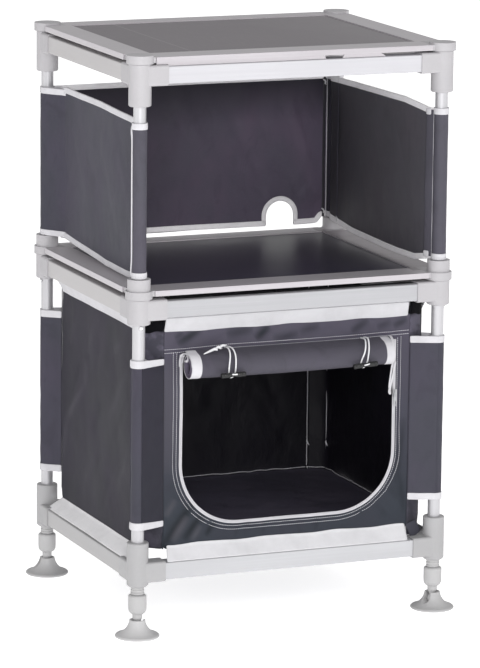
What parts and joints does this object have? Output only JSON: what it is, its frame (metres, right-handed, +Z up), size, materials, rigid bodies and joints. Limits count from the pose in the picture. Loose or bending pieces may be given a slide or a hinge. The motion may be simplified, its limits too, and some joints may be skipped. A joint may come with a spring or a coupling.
{
  "type": "camping cupboard",
  "caption": "Free-standing camping cupboard: an open shelf module with cloth walls stacked on a zipped cloth compartment, tube and rail frame, screw feet.",
  "frame": {"origin": "on the ground, in the middle of the four feet", "axes": "+Z up, -Y towards the front with the door, +X to the right seen from the front"},
  "size_m": [0.6386, 0.5444, 1.013],
  "materials": {
    "grey_plastic": "fine moulded grain, light warm grey",
    "foot_plastic": "fine moulded grain, mid grey",
    "anodised_aluminium": "satin anodised extrusion",
    "post_tube": "satin anodised drawn tube",
    "shelf_laminate": "glossy dark laminate on board",
    "top_laminate": "satin mauve-grey laminate on board",
    "button_steel": "bright",
    "spring_steel": "plain",
    "slate_fabric": "coated polyester, fine plain weave, slate grey",
    "lining_fabric": "black coated polyester",
    "zip_tape": "light grey-white zip tape and binding",
    "zip_metal": "enamelled light grey",
    "black_plastic": "moulded",
    "elastic_cord": "braided white elastic"
  },
  "bodies": {
    "root": {"bottom_connectors": "grey_plastic", "bottom_rail_back": "anodised_aluminium", "bottom_rail_front": "anodised_aluminium", "bottom_side_rails": "anodised_aluminium", "button_springs": "spring_steel", "compartment_floor": "lining_fabric", "door_roll": "slate_fabric", "lower_back_panel": "slate_fabric", "lower_front_panel": "slate_fabric", "lower_post_back_left": "post_tube", "lower_post_back_right": "post_tube", "lower_post_front_left": "post_tube", "lower_post_front_right": "post_tube", "lower_side_left": "slate_fabric", "lower_side_right": "slate_fabric", "middle_connectors": "grey_plastic", "middle_rail_back": "anodised_aluminium", "middle_rail_front": "anodised_aluminium", "middle_side_rails": "anodised_aluminium", "shelf_board": "shelf_laminate", "shelf_corners": "grey_plastic", "shelf_edges": "anodised_aluminium", "toggle_cord_left": "elastic_cord", "toggle_cord_right": "elastic_cord", "toggles": "black_plastic", "zip_track": "zip_tape"},
    "upper_module": {"top_connectors": "grey_plastic", "top_rail_back": "anodised_aluminium", "top_rail_front": "anodised_aluminium", "top_side_rails": "anodised_aluminium", "upper_back_panel": "slate_fabric", "upper_post_back_left": "post_tube", "upper_post_back_right": "post_tube", "upper_post_front_left": "post_tube", "upper_post_front_right": "post_tube", "upper_side_left": "slate_fabric", "upper_side_right": "slate_fabric"},
    "top_plate": {"top_board": "top_laminate", "top_corners": "grey_plastic", "top_edges": "anodised_aluminium"},
    "foot_front_left": {"foot_screw_front_left": "foot_plastic"},
    "grip_front_left": {"foot_grip_front_left": "foot_plastic"},
    "pad_front_left": {"foot_pad_front_left": "foot_plastic"},
    "button_front_left": {"snap_button_front_left": "button_steel"},
    "foot_front_right": {"foot_screw_front_right": "foot_plastic"},
    "grip_front_right": {"foot_grip_front_right": "foot_plastic"},
    "pad_front_right": {"foot_pad_front_right": "foot_plastic"},
    "button_front_right": {"snap_button_front_right": "button_steel"},
    "foot_back_left": {"foot_screw_back_left": "foot_plastic"},
    "grip_back_left": {"foot_grip_back_left": "foot_plastic"},
    "pad_back_left": {"foot_pad_back_left": "foot_plastic"},
    "button_back_left": {"snap_button_back_left": "button_steel"},
    "foot_back_right": {"foot_screw_back_right": "foot_plastic"},
    "grip_back_right": {"foot_grip_back_right": "foot_plastic"},
    "pad_back_right": {"foot_pad_back_right": "foot_plastic"},
    "button_back_right": {"snap_button_back_right": "button_steel"},
    "zip_slider": {"zip_slider": "zip_metal"},
    "zip_pull": {"zip_pull": "zip_metal"}
  },
  "joints": [
    {"name": "upper_module_lift", "type": "slide", "parent": "root", "child": "upper_module", "axis": [0, 0, 1], "range_m": [0, 0.04]},
    {"name": "top_plate_lift", "type": "slide", "parent": "upper_module", "child": "top_plate", "axis": [0, 0, 1], "range_m": [0, 0.035]},
    {"name": "foot_height_front_left", "type": "slide", "parent": "root", "child": "foot_front_left", "axis": [0, 0, -1], "range_m": [-0.012, 0.025]},
    {"name": "grip_turn_front_left", "type": "hinge", "parent": "foot_front_left", "child": "grip_front_left", "pos_m": [-0.2805, -0.23175, 0.058], "axis": [0, 0, -1], "range_deg": [-870, 1810]},
    {"name": "pad_tilt_front_left", "type": "hinge", "parent": "foot_front_left", "child": "pad_front_left", "pos_m": [-0.2805, -0.23175, 0.017], "axis": [1, 0, 0], "range_deg": [-12, 12]},
    {"name": "button_press_front_left", "type": "slide", "parent": "root", "child": "button_front_left", "axis": [0, 1, 0], "range_m": [0, 0.003], "stiffness_N_per_m": 400, "springref_m": -0.005},
    {"name": "foot_height_front_right", "type": "slide", "parent": "root", "child": "foot_front_right", "axis": [0, 0, -1], "range_m": [-0.012, 0.025]},
    {"name": "grip_turn_front_right", "type": "hinge", "parent": "foot_front_right", "child": "grip_front_right", "pos_m": [0.2805, -0.23175, 0.058], "axis": [0, 0, -1], "range_deg": [-870, 1810]},
    {"name": "pad_tilt_front_right", "type": "hinge", "parent": "foot_front_right", "child": "pad_front_right", "pos_m": [0.2805, -0.23175, 0.017], "axis": [1, 0, 0], "range_deg": [-12, 12]},
    {"name": "button_press_front_right", "type": "slide", "parent": "root", "child": "button_front_right", "axis": [-1, 0, 0], "range_m": [0, 0.003], "stiffness_N_per_m": 400, "springref_m": -0.005},
    {"name": "foot_height_back_left", "type": "slide", "parent": "root", "child": "foot_back_left", "axis": [0, 0, -1], "range_m": [-0.012, 0.025]},
    {"name": "grip_turn_back_left", "type": "hinge", "parent": "foot_back_left", "child": "grip_back_left", "pos_m": [-0.2805, 0.23175, 0.058], "axis": [0, 0, -1], "range_deg": [-870, 1810]},
    {"name": "pad_tilt_back_left", "type": "hinge", "parent": "foot_back_left", "child": "pad_back_left", "pos_m": [-0.2805, 0.23175, 0.017], "axis": [1, 0, 0], "range_deg": [-12, 12]},
    {"name": "button_press_back_left", "type": "slide", "parent": "root", "child": "button_back_left", "axis": [1, 0, 0], "range_m": [0, 0.003], "stiffness_N_per_m": 400, "springref_m": -0.005},
    {"name": "foot_height_back_right", "type": "slide", "parent": "root", "child": "foot_back_right", "axis": [0, 0, -1], "range_m": [-0.012, 0.025]},
    {"name": "grip_turn_back_right", "type": "hinge", "parent": "foot_back_right", "child": "grip_back_right", "pos_m": [0.2805, 0.23175, 0.058], "axis": [0, 0, -1], "range_deg": [-870, 1810]},
    {"name": "pad_tilt_back_right", "type": "hinge", "parent": "foot_back_right", "child": "pad_back_right", "pos_m": [0.2805, 0.23175, 0.017], "axis": [1, 0, 0], "range_deg": [-12, 12]},
    {"name": "button_press_back_right", "type": "slide", "parent": "root", "child": "button_back_right", "axis": [0, -1, 0], "range_m": [0, 0.003], "stiffness_N_per_m": 400, "springref_m": -0.005},
    {"name": "zip_slide", "type": "slide", "parent": "root", "child": "zip_slider", "axis": [0, 0, 1], "range_m": [-0.082, 0.09]},
    {"name": "zip_pull_swing", "type": "hinge", "parent": "zip_slider", "child": "zip_pull", "pos_m": [0.2024, -0.2309, 0.39675], "axis": [-1, 0, 0], "range_deg": [0, 150]}
  ],
  "couplings": [
    {"joint": "grip_turn_front_left", "follows": "foot_height_front_left", "rad_per_m": 1256.6},
    {"joint": "grip_turn_front_right", "follows": "foot_height_front_right", "rad_per_m": 1256.6},
    {"joint": "grip_turn_back_left", "follows": "foot_height_back_left", "rad_per_m": 1256.6},
    {"joint": "grip_turn_back_right", "follows": "foot_height_back_right", "rad_per_m": 1256.6}
  ]
}
